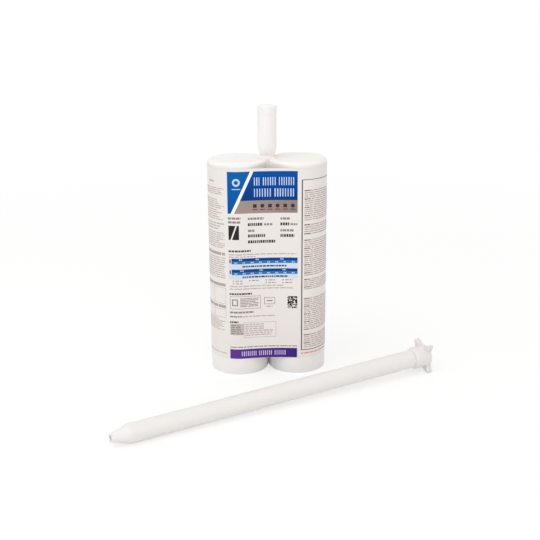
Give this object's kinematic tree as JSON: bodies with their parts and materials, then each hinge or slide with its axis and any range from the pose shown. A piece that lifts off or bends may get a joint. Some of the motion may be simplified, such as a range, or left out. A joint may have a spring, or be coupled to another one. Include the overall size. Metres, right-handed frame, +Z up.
{
  "type": "two-part adhesive cartridge with mixing nozzle",
  "caption": "Side-by-side adhesive cartridge, standing, with a tall capped outlet, a printed wrap, sliding pistons, and its loose static mixing nozzle with a winged nut lying in front.",
  "frame": {"origin": "midway between the two barrels on the plane of their rear edges, which the part stands on", "axes": "+Z up through the outlet, +X from the left barrel to the right one as the printed front is seen, +Y to the back"},
  "size_m": [0.3658, 0.2429, 0.3134],
  "materials": {
    "cartridge_plastic": "moulded, satin, warm white",
    "label_film": "printed film, satin",
    "fill_resin": "thick paste, off-white",
    "fill_hardener": "thick paste, dark grey",
    "piston_plastic": "moulded, matt",
    "seal_rubber": "moulded, satin black",
    "plug_plastic": "moulded, matt",
    "cap_plastic": "moulded, satin, white",
    "nozzle_plastic": "moulded, translucent white, smooth",
    "mixer_plastic": "moulded, white",
    "nut_plastic": "moulded, translucent white"
  },
  "bodies": {
    "cartridge": {"cartridge_body": "cartridge_plastic", "label": "label_film", "fill_left": "fill_resin", "fill_right": "fill_hardener", "nozzle_tube": "nozzle_plastic", "mixing_element": "mixer_plastic"},
    "left_piston": {"piston_left": "piston_plastic", "seal_left": "seal_rubber"},
    "right_piston": {"piston_right": "piston_plastic", "seal_right": "seal_rubber"},
    "plug": {"outlet_plug": "plug_plastic"},
    "cap": {"closure_cap": "cap_plastic"},
    "nut": {"nozzle_nut": "nut_plastic"}
  },
  "joints": [
    {"name": "left_piston_slide", "type": "slide", "parent": "cartridge", "child": "left_piston", "axis": [0, 0, 1], "range_m": [0, 0.228], "deforming": ["fill_left"]},
    {"name": "right_piston_slide", "type": "slide", "parent": "cartridge", "child": "right_piston", "axis": [0, 0, 1], "range_m": [0, 0.228], "deforming": ["fill_right"]},
    {"name": "plug_lift", "type": "slide", "parent": "cartridge", "child": "plug", "axis": [0, 0, 1], "range_m": [0, 0.012]},
    {"name": "cap_turn", "type": "hinge", "parent": "plug", "child": "cap", "pos_m": [0, 0, 0.28], "axis": [0, 0, 1], "range_deg": [0, 1440]},
    {"name": "nut_spin", "type": "hinge", "parent": "cartridge", "child": "nut", "pos_m": [0.18017, -0.03498, 0.01748], "axis": [0.9009, 0.4336, 0.0191], "continuous": true}
  ],
  "couplings": [
    {"joint": "plug_lift", "follows": "cap_turn", "m_per_rad": 0.00047746}
  ]
}
